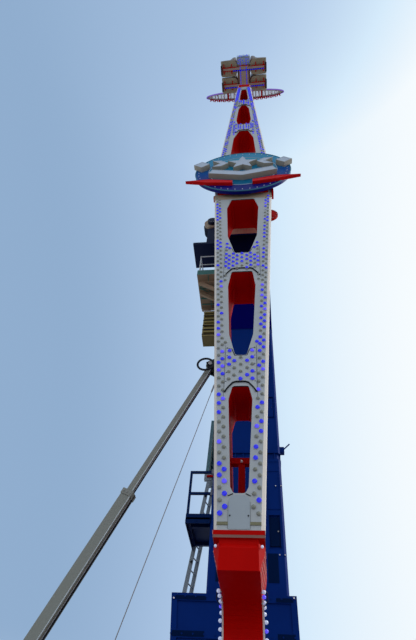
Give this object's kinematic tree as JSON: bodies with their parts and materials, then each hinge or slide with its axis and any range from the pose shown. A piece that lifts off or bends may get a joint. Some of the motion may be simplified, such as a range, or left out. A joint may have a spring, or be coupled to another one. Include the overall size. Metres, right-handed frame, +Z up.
{
  "type": "propeller arm ride",
  "caption": "Tall fairground ride: a long tapering box arm with windows turns on a hub at the head of a navy mast, with outward-facing gondola seats at its tips.",
  "frame": {"origin": "ground level under the middle of the mast's foot", "axes": "+Z up, -Y towards the side with the arm and the round sign, +X to the right seen from there"},
  "size_m": [10.3, 9.06, 33.723],
  "materials": {
    "chassis": "satin paint",
    "outrigger_front_left": "satin paint",
    "outrigger_front_right": "satin paint",
    "outrigger_rear_left": "satin paint",
    "outrigger_rear_right": "satin paint",
    "pedestal": "satin paint",
    "mast": "satin paint",
    "mast_head": "satin paint",
    "slew_ring": "machined steel",
    "drive_left": "gloss paint",
    "drive_right": "gloss paint",
    "drive_deck": "satin paint",
    "upper_platform": "worn paint",
    "upper_railing": "gloss paint",
    "vent_box": "matt paint",
    "lower_platform": "satin paint",
    "lower_railing": "gloss paint",
    "ladder": "mill finish",
    "strut_lower": "satin paint",
    "strut_upper": "satin paint",
    "strut_bracket": "satin paint",
    "hose_loop": "matt",
    "stay_wire": "galvanised",
    "lamp_bracket": "satin paint",
    "hub_box": "gloss paint",
    "arm_upper": "gloss paint",
    "arm_lower": "gloss paint",
    "face_upper": "gloss paint",
    "face_lower": "gloss paint",
    "trim_upper": "satin paint",
    "trim_lower": "satin paint",
    "sign_disc": "gloss",
    "sign_blocks": "gloss",
    "neck_upper": "gloss paint",
    "neck_lower": "gloss paint",
    "hoop_upper": "satin paint",
    "hoop_lower": "satin paint",
    "gondola_upper_frame": "gloss paint",
    "gondola_upper_seats_left": "moulded",
    "gondola_upper_seats_right": "moulded",
    "gondola_upper_cap": "gloss",
    "gondola_lower_frame": "gloss paint",
    "gondola_lower_seats_left": "moulded",
    "gondola_lower_seats_right": "moulded",
    "gondola_lower_cap": "gloss"
  },
  "bodies": {
    "mast": {"chassis": "chassis", "outrigger_front_left": "outrigger_front_left", "outrigger_front_right": "outrigger_front_right", "outrigger_rear_left": "outrigger_rear_left", "outrigger_rear_right": "outrigger_rear_right", "pedestal": "pedestal", "mast": "mast", "mast_head": "mast_head", "slew_ring": "slew_ring", "drive_left": "drive_left", "drive_right": "drive_right", "drive_deck": "drive_deck", "upper_platform": "upper_platform", "upper_railing": "upper_railing", "vent_box": "vent_box", "lower_platform": "lower_platform", "lower_railing": "lower_railing", "ladder": "ladder", "strut_lower": "strut_lower", "strut_upper": "strut_upper", "strut_bracket": "strut_bracket", "hose_loop": "hose_loop", "stay_wire": "stay_wire", "lamp_bracket": "lamp_bracket"},
    "arm": {"hub_box": "hub_box", "arm_upper": "arm_upper", "arm_lower": "arm_lower", "face_upper": "face_upper", "face_lower": "face_lower", "trim_upper": "trim_upper", "trim_lower": "trim_lower", "sign_disc": "sign_disc", "sign_blocks": "sign_blocks", "neck_upper": "neck_upper", "neck_lower": "neck_lower", "hoop_upper": "hoop_upper", "hoop_lower": "hoop_lower"},
    "gondola_upper": {"gondola_upper_frame": "gondola_upper_frame", "gondola_upper_seats_left": "gondola_upper_seats_left", "gondola_upper_seats_right": "gondola_upper_seats_right", "gondola_upper_cap": "gondola_upper_cap"},
    "gondola_lower": {"gondola_lower_frame": "gondola_lower_frame", "gondola_lower_seats_left": "gondola_lower_seats_left", "gondola_lower_seats_right": "gondola_lower_seats_right", "gondola_lower_cap": "gondola_lower_cap"}
  },
  "joints": [
    {"name": "arm_spin", "type": "hinge", "parent": "mast", "child": "arm", "pos_m": [0, -3.865, 17.8], "axis": [0, 1, 0], "continuous": true},
    {"name": "gondola_upper_swing", "type": "hinge", "parent": "arm", "child": "gondola_upper", "pos_m": [0, -3.865, 33.143], "axis": [0, 1, 0], "continuous": true},
    {"name": "gondola_lower_swing", "type": "hinge", "parent": "arm", "child": "gondola_lower", "pos_m": [0, -3.865, 2.457], "axis": [0, 1, 0], "continuous": true}
  ]
}
